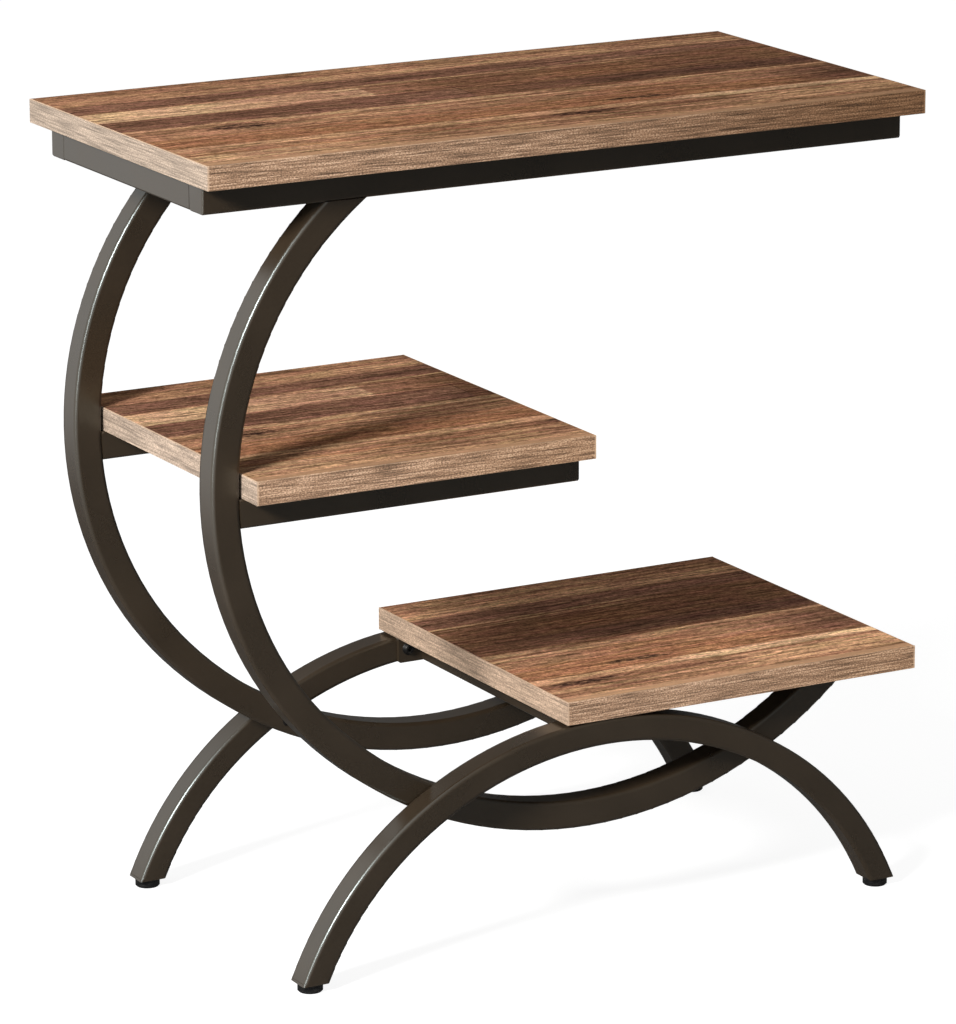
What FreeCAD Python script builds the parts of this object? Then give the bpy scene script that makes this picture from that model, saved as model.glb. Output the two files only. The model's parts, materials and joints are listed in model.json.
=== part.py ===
import FreeCAD, Part
import math
import os

# A C-shaped coffee table: three boards on a frame of bent square tube.
# All lengths are in millimetres. +X is the table's length, -Y its front, +Z up.
# The origin is on the floor, under the middle of the top board.

# Boards: each height runs from the floor to a board's upper face. The middle shelf starts a small
# gap inside the C tubes, and the lower shelf overhangs the base axis of the arches to the left.
board_thickness = 18.0
board_width = 300.0
band_thickness = 1.0
band_edge_bevel = 0.4
table_height = 625.4
top_length = 600.0
mid_height = 393.4
mid_length = 279.0
mid_board_gap = 2.0
lower_height = 191.4
lower_length = 308.0
lower_overhang = 35.5

# Square tube of the top frame and the C tubes
frame_tube = 22.0
frame_wall = 1.2
frame_corner = 2.0

# Square tube of the shelf rails
shelf_tube = 22.0
shelf_wall = 1.2
shelf_corner = 2.0

# Insets of the top frame under the top board, and of the shelf rails' free ends
side_inset = 23.0
end_inset = 7.0
mid_rail_inset = 1.0

# C tubes: an upper and a lower arc that meet without a kink, both to the tube's centre line.
# The upper arc's centre stands a rise above the lower shelf's underside. The arc is never followed
# past its top angle: a taller table gets a straight run at the back of the C instead.
c_centre_x = -10.0
c_centre_rise = 204.5
c_upper_radius = 268.0
c_lower_radius = 318.0
c_join_angle = 224.0
c_top_angle = 125.0

# Arched legs: tube as wide as the frame's but less deep, bent to a crown arc and two tighter leg arcs,
# all to the tube's centre line
arch_depth = 20.0
arch_crown_radius = 279.0
arch_leg_radius = 252.0
arch_crown_half_angle = 34.0

# Plates welded to the tubes
cap_thickness = 1.5
cap_edge_bevel = 0.7
leg_plate_thickness = 2.0
flange_thickness = 3.0
flange_first_bolt = 12.0
flange_bolt_pitch = 18.0
flange_end_margin = 8.5
flange_corner = 2.0
tab_thickness = 3.0
tab_reach = 26.0
tab_screw_margin = 12.0
tab_corner = 6.0

# Bolts and rivet nuts that join the cross rails and the arches
bolt_radius = 3.0
bolt_hole_clearance = 0.3
bolt_bite = 9.5
bolt_head_radius = 5.25
bolt_head_crown_radius = 3.4
bolt_head_height = 3.3
bolt_socket_flats = 4.0
bolt_socket_depth = 2.0
nut_radius = 4.5
nut_length = 12.0
nut_collar_radius = 6.0
nut_collar_length = 3.0
thread_clearance = 0.05

# Wood screws that hold the boards from below. Their heads sit inside the rails, on the upper wall,
# and a wider hole in the lower wall lets the screw and its driver in.
screw_radius = 2.0
screw_bite = 12.0
screw_tip_length = 3.0
screw_head_radius = 4.0
screw_head_crown_radius = 2.6
screw_head_height = 2.4
screw_access_clearance = 1.5
top_screw_pitch = 130.0
lower_screw_offset = 60.0
mid_screw_shares = (0.2, 0.66)

# Levelling feet
pad_radius = 9.5
pad_height = 6.6
pad_bottom_bevel = 1.0
pad_top_bevel = 0.4
pad_gap = 0.3
stud_radius = 3.0
stud_rise = 13.5
stud_socket = 4.0
weld_nut_flats = 10.0
weld_nut_height = 5.0

# Overruns of the cutting tools past the faces they cut
cut_overrun = 40.0
bend_overrun_angle = 3.0

# Levels and faces worked out from the sizes above
top_underside = table_height - board_thickness
rail_underside = top_underside - frame_tube
mid_underside = mid_height - board_thickness
lower_underside = lower_height - board_thickness
leg_end = pad_height + pad_gap
rail_end = top_length / 2 - end_inset
c_outer_face = board_width / 2 - side_inset
c_inner_face = c_outer_face - frame_tube
c_axis_y = c_outer_face - frame_tube / 2
arch_axis_y = c_outer_face + frame_tube / 2
mid_rail_inner_face = c_outer_face - shelf_tube
mid_rail_axis_y = c_outer_face - shelf_tube / 2

# Radii of the holes that the fasteners go through and into
bolt_hole_radius = bolt_radius + bolt_hole_clearance
bolt_bore_radius = bolt_radius + thread_clearance
nut_hole_radius = nut_radius + thread_clearance
screw_hole_radius = screw_radius + bolt_hole_clearance
screw_pilot_radius = screw_radius + thread_clearance
screw_access_radius = screw_head_radius + screw_access_clearance
stud_hole_radius = stud_radius + bolt_hole_clearance
stud_bore_radius = stud_radius + thread_clearance

# Arc centres of the C tubes, the straight run at their backs, and the base axis under the lower arc
c_centre_z = lower_underside + c_centre_rise
c_lower_step = c_lower_radius - c_upper_radius
c_lower_x = c_centre_x - c_lower_step * math.cos(math.radians(c_join_angle))
c_lower_z = c_centre_z - c_lower_step * math.sin(math.radians(c_join_angle))
c_mouth_radius = c_upper_radius - frame_tube / 2
c_arc_reach = c_mouth_radius * math.sin(math.radians(c_top_angle))
c_back_run = max(rail_underside - c_centre_z - c_arc_reach, 0)
base_axis = c_lower_x

# Arc centres of the arched legs, whose crown touches the lower board
crown_z = lower_underside - arch_depth / 2 - arch_crown_radius
leg_step = arch_crown_radius - arch_leg_radius
leg_arc_offset = leg_step * math.sin(math.radians(arch_crown_half_angle))
leg_arc_z = crown_z + leg_step * math.cos(math.radians(arch_crown_half_angle))
foot_offset = leg_arc_offset + math.sqrt(arch_leg_radius ** 2 - (leg_end - leg_arc_z) ** 2)

# Where each arch crosses its C tube
crossing_span = c_lower_z - crown_z
crossing_drop = (crossing_span ** 2 + c_lower_radius ** 2 - arch_crown_radius ** 2) / (2 * crossing_span)
crossing_offset = math.sqrt(c_lower_radius ** 2 - crossing_drop ** 2)
crossing_z = c_lower_z - crossing_drop

# Ends of the middle and lower shelves, the middle one clear of the C tubes over its whole thickness
mid_board_offset = max(abs(mid_height - c_centre_z), abs(mid_underside - c_centre_z))
mid_left = c_centre_x - math.sqrt(c_mouth_radius ** 2 - mid_board_offset ** 2) + mid_board_gap
mid_right = mid_left + mid_length
mid_rail_end = mid_right - mid_rail_inset
lower_left = base_axis - lower_overhang
lower_right = lower_left + lower_length

X_AXIS = FreeCAD.Vector(1, 0, 0)
Y_AXIS = FreeCAD.Vector(0, 1, 0)
Z_AXIS = FreeCAD.Vector(0, 0, 1)
BEND_AXIS = FreeCAD.Vector(0, -1, 0)
ORIGIN = FreeCAD.Vector(0, 0, 0)
SIDES = (-1, 1)


def point(x, y, z):
    return FreeCAD.Vector(x, y, z)


def block(x_low, x_high, y_low, y_high, z_low, z_high):
    return Part.makeBox(x_high - x_low, y_high - y_low, z_high - z_low, point(x_low, y_low, z_low))


def rod(radius, start, run):
    return Part.makeCylinder(radius, run.Length, start, run)


def aimed(shape, position, direction):
    # A copy of a shape built along +Z, moved to a place and turned to a direction
    copy = shape.copy()
    copy.Placement = FreeCAD.Placement(position, FreeCAD.Rotation(Z_AXIS, direction))
    return copy


def rounded_rectangle(width, depth, corner):
    # A closed outline about the origin in the XY plane
    half_width = width / 2
    half_depth = depth / 2
    arc_middle = corner * (1 - math.sqrt(0.5))
    edges = []
    for x_sign, y_sign in ((1, 1), (-1, 1), (-1, -1), (1, -1)):
        on_side = point(x_sign * half_width, y_sign * (half_depth - corner), 0)
        on_bend = point(x_sign * (half_width - arc_middle), y_sign * (half_depth - arc_middle), 0)
        on_top = point(x_sign * (half_width - corner), y_sign * half_depth, 0)
        edges.append(Part.Arc(on_side, on_bend, on_top).toShape())
    for y_sign in SIDES:
        left = point(corner - half_width, y_sign * half_depth, 0)
        right = point(half_width - corner, y_sign * half_depth, 0)
        edges.append(Part.LineSegment(left, right).toShape())
    for x_sign in SIDES:
        low = point(x_sign * half_width, corner - half_depth, 0)
        high = point(x_sign * half_width, half_depth - corner, 0)
        edges.append(Part.LineSegment(low, high).toShape())
    return Part.Wire(Part.__sortEdges__(edges))


def rectangle_face(width, depth):
    x, y = width / 2, depth / 2
    corners = [point(-x, -y, 0), point(x, -y, 0), point(x, y, 0), point(-x, y, 0)]
    return Part.Face(Part.makePolygon(corners + corners[:1]))


def hexagon_face(flats):
    reach = flats / math.sqrt(3)
    corners = []
    for step in range(7):
        turn = math.radians(60 * step)
        corners.append(point(reach * math.cos(turn), reach * math.sin(turn), 0))
    return Part.Face(Part.makePolygon(corners))


def solid_section(width, depth, corner):
    return Part.Face(rounded_rectangle(width, depth, corner))


def tube_section(width, depth, wall, corner):
    bore = rectangle_face(width - 2 * wall, depth - 2 * wall)
    return solid_section(width, depth, corner).cut(bore).Faces[0]


frame_section = tube_section(frame_tube, frame_tube, frame_wall, frame_corner)
frame_outline = solid_section(frame_tube, frame_tube, frame_corner)
arch_section = tube_section(arch_depth, frame_tube, frame_wall, frame_corner)
arch_outline = solid_section(arch_depth, frame_tube, frame_corner)
shelf_section = tube_section(shelf_tube, shelf_tube, shelf_wall, shelf_corner)
shelf_outline = solid_section(shelf_tube, shelf_tube, shelf_corner)


def straight(section, start, run):
    return aimed(section, start, run).extrude(run)


def bend(section, radius, centre, start_angle, end_angle):
    # A section swept round an arc in an upright plane; angles run from +X towards +Z
    face = section.copy()
    face.translate(point(radius, 0, 0))
    face.rotate(ORIGIN, BEND_AXIS, start_angle)
    arc = face.revolve(ORIGIN, BEND_AXIS, end_angle - start_angle)
    arc.translate(centre)
    return arc


def mirrored(shape):
    # The same piece on the other side of the base axis
    return shape.mirror(point(base_axis, 0, 0), X_AXIS)


# Places of the fasteners

def flange_bolt_steps():
    # Distances of a one-sided flange's bolts from the cross rail's inner side
    return [flange_first_bolt + flange_bolt_pitch * step for step in range(2)]


def top_bolt_places():
    places = []
    for end in SIDES:
        for step in flange_bolt_steps():
            places.append((end * (rail_end - frame_tube - step), top_underside - frame_tube / 2))
    return places


def mid_bolt_places():
    z = mid_underside - shelf_tube / 2
    return [(mid_rail_end - shelf_tube - step, z) for step in flange_bolt_steps()]


def lower_bolt_places():
    # One bolt each side of the lower cross rail, on the arch's centre line
    offset = shelf_tube / 2 + flange_first_bolt
    z = crown_z + math.sqrt(arch_crown_radius ** 2 - offset ** 2)
    return [(base_axis + side * offset, z) for side in SIDES]


def crossing_places():
    return [(base_axis + side * crossing_offset, crossing_z) for side in SIDES]


def top_screw_places():
    return [step * top_screw_pitch for step in (-1, 0, 1)]


def mid_screw_places():
    start = c_centre_x - c_mouth_radius
    return [start + share * (mid_rail_end - start) for share in mid_screw_shares]


def top_screw_points():
    return [(x, side * c_axis_y) for side in SIDES for x in top_screw_places()]


def mid_screw_points():
    return [(x, side * mid_rail_axis_y) for side in SIDES for x in mid_screw_places()]


def lower_screw_points():
    return [(base_axis, side * lower_screw_offset) for side in SIDES]


def tab_span():
    # Where the lower end of a C tube meets its tab, along X
    drop = c_lower_z - lower_underside + tab_thickness
    inner = math.sqrt((c_lower_radius - frame_tube / 2) ** 2 - drop ** 2)
    outer = math.sqrt((c_lower_radius + frame_tube / 2) ** 2 - drop ** 2)
    return c_lower_x + inner, c_lower_x + outer


def tab_screw_place():
    low, high = tab_span()
    return (low + high) / 2, c_inner_face - tab_reach + tab_screw_margin


# Fasteners, built along +Z with the head above the origin and the shank below it

def bolt(length):
    shank = rod(bolt_radius, point(0, 0, -length), point(0, 0, length))
    head = Part.makeCone(bolt_head_radius, bolt_head_crown_radius, bolt_head_height)
    socket_floor = point(0, 0, bolt_head_height - bolt_socket_depth)
    socket = aimed(hexagon_face(bolt_socket_flats), socket_floor, Z_AXIS)
    socket = socket.extrude(point(0, 0, bolt_socket_depth + cut_overrun))
    return shank.fuse(head).cut(socket).removeSplitter()


def rivet_nut(wall):
    # The head end is flush with the tube's outer face, and the collar grips the wall from inside
    body = rod(nut_radius, ORIGIN, point(0, 0, -nut_length))
    collar = rod(nut_collar_radius, point(0, 0, -wall), point(0, 0, -nut_collar_length))
    bore_start = point(0, 0, cut_overrun)
    bore = rod(bolt_bore_radius, bore_start, point(0, 0, -nut_length - 2 * cut_overrun))
    return body.fuse(collar).cut(bore).removeSplitter()


def wood_screw(length):
    shank_length = length - screw_tip_length
    shank = rod(screw_radius, point(0, 0, -shank_length), point(0, 0, shank_length))
    tip = Part.makeCone(0, screw_radius, screw_tip_length, point(0, 0, -length))
    head = Part.makeCone(screw_head_radius, screw_head_crown_radius, screw_head_height)
    return shank.fuse([tip, head]).removeSplitter()


def side_holes(radius, places, y_start, y_end):
    # Cutters along Y at a list of X, Z places
    return [rod(radius, point(x, y_start, z), point(0, y_end - y_start, 0)) for x, z in places]


def wall_holes(places, side, face, wall):
    # Cutters for rivet nuts through the wall of a tube that faces the middle of the table
    y_start = side * (face - cut_overrun)
    y_end = side * (face + wall + nut_collar_length)
    return side_holes(nut_hole_radius, places, y_start, y_end)


def upright_hole(radius, x, y, z_low, z_high):
    return rod(radius, point(x, y, z_low), point(0, 0, z_high - z_low))


def screw_holes(places, tube, tube_top):
    # Cutters through a rail: a wide hole in its lower wall and a close one in its upper wall
    z_middle = tube_top - tube / 2
    cutters = []
    for x, y in places:
        cutters.append(upright_hole(screw_access_radius, x, y, z_middle - cut_overrun, z_middle))
        cutters.append(upright_hole(screw_hole_radius, x, y, z_middle, z_middle + cut_overrun))
    return cutters


def closing_cap(outline, start, run):
    # A plate on a tube's end, with the edges of its outer face bevelled
    cap = straight(outline, start, run)
    outer_face = min(cap.Faces, key=lambda face: face.CenterOfMass.distanceToPoint(start))
    return cap.makeChamfer(cap_edge_bevel, outer_face.Edges)


# Boards and their edge banding

def panel(x_low, x_high, z_top, screw_places):
    # The board inside its edge banding, with pilot holes for the screws from below
    z_low = z_top - board_thickness
    reach = board_width / 2 - band_thickness
    core = block(x_low + band_thickness, x_high - band_thickness, -reach, reach, z_low, z_top)
    z_start = z_low - cut_overrun
    pilots = [upright_hole(screw_pilot_radius, x, y, z_start, z_low + screw_bite) for x, y in screw_places]
    return core.cut(pilots)


def banding_strip(start, run, inward):
    # A strip along one side of a board, with its two long outer edges broken by a bevel
    steps = (
        (band_edge_bevel, 0),
        (band_thickness, 0),
        (band_thickness, board_thickness),
        (band_edge_bevel, board_thickness),
        (0, board_thickness - band_edge_bevel),
        (0, band_edge_bevel),
    )
    outline = [start + inward * depth + Z_AXIS * rise for depth, rise in steps]
    return Part.Face(Part.makePolygon(outline + outline[:1])).extrude(run)


def edge_banding(x_low, x_high, z_top):
    # Long strips over the whole length, and short ones between them
    z_low = z_top - board_thickness
    half = board_width / 2
    long_run = point(x_high - x_low, 0, 0)
    short_run = point(0, board_width - 2 * band_thickness, 0)
    strips = [
        banding_strip(point(x_low, -half, z_low), long_run, Y_AXIS),
        banding_strip(point(x_low, half, z_low), long_run, -Y_AXIS),
        banding_strip(point(x_low, band_thickness - half, z_low), short_run, X_AXIS),
        banding_strip(point(x_high, band_thickness - half, z_low), short_run, -X_AXIS),
    ]
    return Part.makeCompound(strips)


# Top frame

def top_rail(side):
    z = top_underside - frame_tube / 2
    tube_end = rail_end - cap_thickness
    tube = straight(frame_section, point(-tube_end, side * c_axis_y, z), point(2 * tube_end, 0, 0))
    cutters = wall_holes(top_bolt_places(), side, c_inner_face, frame_wall)
    cutters += screw_holes(top_screw_points(), frame_tube, top_underside)
    return tube.cut(cutters)


def top_rail_caps():
    z = top_underside - frame_tube / 2
    caps = []
    for side in SIDES:
        for end in SIDES:
            start = point(end * rail_end, side * c_axis_y, z)
            caps.append(closing_cap(frame_outline, start, point(-end * cap_thickness, 0, 0)))
    return Part.makeCompound(caps)


def cross_tube(section, x, z, half_length):
    return straight(section, point(x, -half_length, z), point(0, 2 * half_length, 0))


def top_cross_rail(end):
    x = end * (rail_end - frame_tube / 2)
    return cross_tube(frame_section, x, top_underside - frame_tube / 2, c_inner_face - flange_thickness)


def flange_plate(x_low, x_high, z_low, z_high, side, face, bolt_places):
    # An upright plate with rounded corners, its outer face on a rail's inner face
    outline = Part.Face(rounded_rectangle(x_high - x_low, z_high - z_low, flange_corner))
    outline.rotate(ORIGIN, X_AXIS, 90)
    outline.translate(point((x_low + x_high) / 2, side * face, (z_low + z_high) / 2))
    plate = outline.extrude(point(0, -side * flange_thickness, 0))
    y_start = side * (face - flange_thickness - cut_overrun)
    return plate.cut(side_holes(bolt_hole_radius, bolt_places, y_start, side * (face + cut_overrun)))


def one_sided_reach(tube):
    return tube + flange_bolt_steps()[-1] + flange_end_margin


def top_flanges():
    plates = []
    reach = one_sided_reach(frame_tube)
    for side in SIDES:
        for end in SIDES:
            x_ends = sorted((end * rail_end, end * (rail_end - reach)))
            places = [place for place in top_bolt_places() if place[0] * end > 0]
            plates.append(flange_plate(*x_ends, rail_underside, top_underside, side, c_inner_face, places))
    return Part.makeCompound(plates)


# C tubes

def c_tube(side):
    # From the top rail down the back, round under the lower shelf and up to its right part
    y = side * c_axis_y
    top_centre = point(c_centre_x, y, c_centre_z + c_back_run)
    top_rise = rail_underside - top_centre.z
    start_angle = 180 - math.degrees(math.asin(top_rise / c_mouth_radius)) - bend_overrun_angle
    end_drop = c_lower_z - lower_underside
    end_outer_radius = c_lower_radius + frame_tube / 2
    end_angle = 360 - math.degrees(math.asin(end_drop / end_outer_radius)) + bend_overrun_angle
    centre = point(c_centre_x, y, c_centre_z)
    pieces = [
        bend(frame_section, c_upper_radius, top_centre, start_angle, 180),
        bend(frame_section, c_upper_radius, centre, 180, c_join_angle),
        bend(frame_section, c_lower_radius, point(c_lower_x, y, c_lower_z), c_join_angle, end_angle),
    ]
    if c_back_run > 0:
        back = centre - X_AXIS * c_upper_radius
        pieces.append(straight(frame_section, back, point(0, 0, c_back_run)))
    y_low = y - frame_tube
    y_high = y + frame_tube
    cutters = [
        block(-top_length, top_length, y_low, y_high, rail_underside, table_height),
        block(base_axis, top_length, y_low, y_high, lower_underside - tab_thickness, table_height),
    ]
    cutters += side_holes(bolt_hole_radius, crossing_places(), y_low, y_high)
    return pieces[0].fuse(pieces[1:]).removeSplitter().cut(cutters)


def c_end_tabs():
    # Plates that close the lower ends of the C tubes and reach inwards for a wood screw
    x_low, x_high = tab_span()
    screw_x, screw_y = tab_screw_place()
    tabs = []
    for side in SIDES:
        y_ends = sorted((side * c_outer_face, side * (c_inner_face - tab_reach)))
        outline = Part.Face(rounded_rectangle(x_high - x_low, y_ends[1] - y_ends[0], tab_corner))
        outline.translate(point((x_low + x_high) / 2, sum(y_ends) / 2, lower_underside - tab_thickness))
        plate = outline.extrude(point(0, 0, tab_thickness))
        z_start = lower_underside - cut_overrun
        hole = upright_hole(screw_hole_radius, screw_x, side * screw_y, z_start, lower_height)
        tabs.append(plate.cut(hole))
    return Part.makeCompound(tabs)


# Middle shelf rails

def mid_rail(side):
    # The left end is coped to the inside of the C tube
    y = side * mid_rail_axis_y
    z = mid_underside - shelf_tube / 2
    start = point(c_centre_x - c_upper_radius, y, z)
    tube = straight(shelf_section, start, point(mid_rail_end - cap_thickness - start.x, 0, 0))
    mouth_start = point(c_centre_x, y - shelf_tube, c_centre_z)
    mouth = rod(c_mouth_radius, mouth_start, point(0, 2 * shelf_tube, 0))
    cutters = wall_holes(mid_bolt_places(), side, mid_rail_inner_face, shelf_wall)
    cutters += screw_holes(mid_screw_points(), shelf_tube, mid_underside)
    return tube.common(mouth).cut(cutters)


def mid_rail_caps():
    z = mid_underside - shelf_tube / 2
    caps = []
    for side in SIDES:
        start = point(mid_rail_end, side * mid_rail_axis_y, z)
        caps.append(closing_cap(shelf_outline, start, point(-cap_thickness, 0, 0)))
    return Part.makeCompound(caps)


def mid_cross_rail():
    x = mid_rail_end - shelf_tube / 2
    z = mid_underside - shelf_tube / 2
    return cross_tube(shelf_section, x, z, mid_rail_inner_face - flange_thickness)


def mid_flanges():
    x_ends = (mid_rail_end - one_sided_reach(shelf_tube), mid_rail_end)
    z_ends = (mid_underside - shelf_tube, mid_underside)
    places = mid_bolt_places()
    plates = [flange_plate(*x_ends, *z_ends, side, mid_rail_inner_face, places) for side in SIDES]
    return Part.makeCompound(plates)


# Arched legs

def arch_bend(section, y):
    # The crown arc and the two leg arcs as one bar, running on past the leg ends
    crown_low = 90 - arch_crown_half_angle
    crown_centre = point(base_axis, y, crown_z)
    crown = bend(section, arch_crown_radius, crown_centre, crown_low, 90 + arch_crown_half_angle)
    outer_radius = arch_leg_radius + arch_depth / 2
    end_angle = math.degrees(math.asin((leg_end - leg_arc_z) / outer_radius)) - bend_overrun_angle
    leg_centre = point(base_axis + leg_arc_offset, y, leg_arc_z)
    leg = bend(section, arch_leg_radius, leg_centre, end_angle, crown_low)
    return crown.fuse([leg, mirrored(leg)]).removeSplitter()


def level_slab(y, z_low, z_high):
    return block(-top_length, top_length, y - frame_tube, y + frame_tube, z_low, z_high)


def arch(side):
    y = side * arch_axis_y
    bar = arch_bend(arch_section, y)
    cutters = [level_slab(y, -table_height, leg_end + leg_plate_thickness)]
    places = crossing_places() + lower_bolt_places()
    cutters += wall_holes(places, side, c_outer_face, frame_wall)
    return bar.cut(cutters)


def foot_places():
    return [(base_axis + end * foot_offset, side * arch_axis_y) for side in SIDES for end in SIDES]


def leg_end_plates():
    # Level plates that close the slanting leg ends, each with a hole for a foot's stud
    plates = []
    for side in SIDES:
        y = side * arch_axis_y
        bar = arch_bend(arch_outline, y)
        plates += bar.common(level_slab(y, leg_end, leg_end + leg_plate_thickness)).Solids
    z_end = leg_end + cut_overrun
    holes = [upright_hole(stud_hole_radius, x, y, -cut_overrun, z_end) for x, y in foot_places()]
    return Part.makeCompound([plate.cut(holes) for plate in plates])


def weld_nuts():
    z = leg_end + leg_plate_thickness
    nuts = []
    for x, y in foot_places():
        outline = aimed(hexagon_face(weld_nut_flats), point(x, y, z), Z_AXIS)
        nut = outline.extrude(point(0, 0, weld_nut_height))
        nuts.append(nut.cut(upright_hole(stud_bore_radius, x, y, z - cut_overrun, z + cut_overrun)))
    return Part.makeCompound(nuts)


# Lower cross rail

def lower_cross_rail():
    z = lower_underside - shelf_tube / 2
    tube = cross_tube(shelf_section, base_axis, z, c_outer_face - flange_thickness)
    return tube.cut(screw_holes(lower_screw_points(), shelf_tube, lower_underside))


def lower_flanges():
    half = shelf_tube / 2 + flange_first_bolt + flange_end_margin
    x_ends = (base_axis - half, base_axis + half)
    z_low = lower_underside - shelf_tube
    places = lower_bolt_places()
    plates = [flange_plate(*x_ends, z_low, lower_underside, side, c_outer_face, places) for side in SIDES]
    return Part.makeCompound(plates)


# Fastener groups

def side_bolts(places, face, grip):
    # Bolts driven outwards from the middle of the table, through a piece as thick as the grip
    piece = bolt(grip + bolt_bite)
    bolts = []
    for side in SIDES:
        for x, z in places:
            bolts.append(aimed(piece, point(x, side * (face - grip), z), point(0, -side, 0)))
    return Part.makeCompound(bolts)


def side_nuts(places, face, wall):
    piece = rivet_nut(wall)
    nuts = []
    for side in SIDES:
        for x, z in places:
            nuts.append(aimed(piece, point(x, side * face, z), point(0, -side, 0)))
    return nuts


def board_screws(places, grip, board_level):
    # Wood screws driven upwards through a piece as thick as the grip, into a board's underside
    piece = wood_screw(grip + screw_bite)
    screws = [aimed(piece, point(x, y, board_level - grip), -Z_AXIS) for x, y in places]
    return Part.makeCompound(screws)


def tab_screw_points():
    x, y = tab_screw_place()
    return [(x, side * y) for side in SIDES]


def all_frame_nuts():
    top = side_nuts(top_bolt_places(), c_inner_face, frame_wall)
    middle = side_nuts(mid_bolt_places(), mid_rail_inner_face, shelf_wall)
    return Part.makeCompound(top + middle)


def all_arch_nuts():
    return Part.makeCompound(side_nuts(lower_bolt_places() + crossing_places(), c_outer_face, frame_wall))


def lower_screws():
    rail_screws = board_screws(lower_screw_points(), shelf_wall, lower_underside)
    tab_screws = board_screws(tab_screw_points(), tab_thickness, lower_underside)
    return Part.makeCompound(rail_screws.Solids + tab_screws.Solids)


# Levelling feet

def foot_pad(x, y):
    # A turned pad with bevelled rims and a socket for its stud
    outline = [
        point(0, 0, 0),
        point(pad_radius - pad_bottom_bevel, 0, 0),
        point(pad_radius, 0, pad_bottom_bevel),
        point(pad_radius, 0, pad_height - pad_top_bevel),
        point(pad_radius - pad_top_bevel, 0, pad_height),
        point(0, 0, pad_height),
    ]
    pad = Part.Face(Part.makePolygon(outline + outline[:1])).revolve(ORIGIN, Z_AXIS, 360)
    socket_floor = pad_height - stud_socket
    pad = pad.cut(upright_hole(stud_bore_radius, 0, 0, socket_floor, pad_height + cut_overrun))
    pad.translate(point(x, y, 0))
    return pad


def foot_stud(x, y):
    return upright_hole(stud_radius, x, y, pad_height - stud_socket, leg_end + stud_rise)


def build():
    top_half = top_length / 2
    lower_points = lower_screw_points() + tab_screw_points()
    nodes = {
        "top_panel": panel(-top_half, top_half, table_height, top_screw_points()),
        "top_edge_banding": edge_banding(-top_half, top_half, table_height),
        "mid_panel": panel(mid_left, mid_right, mid_height, mid_screw_points()),
        "mid_edge_banding": edge_banding(mid_left, mid_right, mid_height),
        "lower_panel": panel(lower_left, lower_right, lower_height, lower_points),
        "lower_edge_banding": edge_banding(lower_left, lower_right, lower_height),
        "top_rail_front": top_rail(-1),
        "top_rail_back": top_rail(1),
        "top_rail_caps": top_rail_caps(),
        "top_cross_rail_left": top_cross_rail(-1),
        "top_cross_rail_right": top_cross_rail(1),
        "top_cross_flanges": top_flanges(),
        "c_tube_front": c_tube(-1),
        "c_tube_back": c_tube(1),
        "c_end_tabs": c_end_tabs(),
        "mid_rail_front": mid_rail(-1),
        "mid_rail_back": mid_rail(1),
        "mid_rail_caps": mid_rail_caps(),
        "mid_cross_rail": mid_cross_rail(),
        "mid_cross_flanges": mid_flanges(),
        "arch_front": arch(-1),
        "arch_back": arch(1),
        "leg_end_plates": leg_end_plates(),
        "leg_weld_nuts": weld_nuts(),
        "lower_cross_rail": lower_cross_rail(),
        "lower_cross_flanges": lower_flanges(),
        "frame_rivet_nuts": all_frame_nuts(),
        "arch_rivet_nuts": all_arch_nuts(),
        "top_flange_bolts": side_bolts(top_bolt_places(), c_inner_face, flange_thickness),
        "mid_flange_bolts": side_bolts(mid_bolt_places(), mid_rail_inner_face, flange_thickness),
        "lower_flange_bolts": side_bolts(lower_bolt_places(), c_outer_face, flange_thickness),
        "arch_crossing_bolts": side_bolts(crossing_places(), c_outer_face, frame_tube),
        "top_board_screws": board_screws(top_screw_points(), frame_wall, top_underside),
        "mid_board_screws": board_screws(mid_screw_points(), shelf_wall, mid_underside),
        "lower_board_screws": lower_screws(),
    }
    foot_names = ("front_left", "front_right", "back_left", "back_right")
    for name, (x, y) in zip(foot_names, foot_places()):
        nodes["foot_pad_" + name] = foot_pad(x, y)
        nodes["foot_stud_" + name] = foot_stud(x, y)
    return nodes


os.makedirs("parts", exist_ok=True)
for node_name, shape in build().items():
    shape.exportStep("parts/" + node_name + ".step")
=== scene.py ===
import json
import math
from collections import namedtuple

import bpy
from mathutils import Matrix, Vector

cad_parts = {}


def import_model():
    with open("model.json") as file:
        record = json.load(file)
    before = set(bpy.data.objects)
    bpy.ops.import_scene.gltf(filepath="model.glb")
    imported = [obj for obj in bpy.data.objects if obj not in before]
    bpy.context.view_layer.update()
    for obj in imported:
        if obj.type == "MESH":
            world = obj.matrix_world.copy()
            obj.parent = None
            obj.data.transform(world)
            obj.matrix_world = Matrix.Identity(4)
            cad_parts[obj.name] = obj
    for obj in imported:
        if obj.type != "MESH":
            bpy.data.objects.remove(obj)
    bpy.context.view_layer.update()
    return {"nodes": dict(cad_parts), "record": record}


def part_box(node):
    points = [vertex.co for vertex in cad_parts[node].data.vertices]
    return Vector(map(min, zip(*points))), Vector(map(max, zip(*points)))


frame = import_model()


# Node helpers

# Where nearly all of a noise's values lie
NOISE_RANGE = (0.3, 0.7)

# A noise that lightens and darkens: length of one lump along each axis, detail, roughness and
# distortion of the noise, the ends of its range, and the lightness at each end
Layer = namedtuple("Layer", "size detail roughness distortion low high dark light")


def tone(red, green, blue):
    # A colour given as it looks on a screen, 0 to 255, as the shaders take it
    def linear(value):
        value /= 255
        return value / 12.92 if value <= 0.04045 else ((value + 0.055) / 1.055) ** 2.4
    return (linear(red), linear(green), linear(blue), 1.0)


def grey(level):
    return (level, level, level, 1.0)


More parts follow.
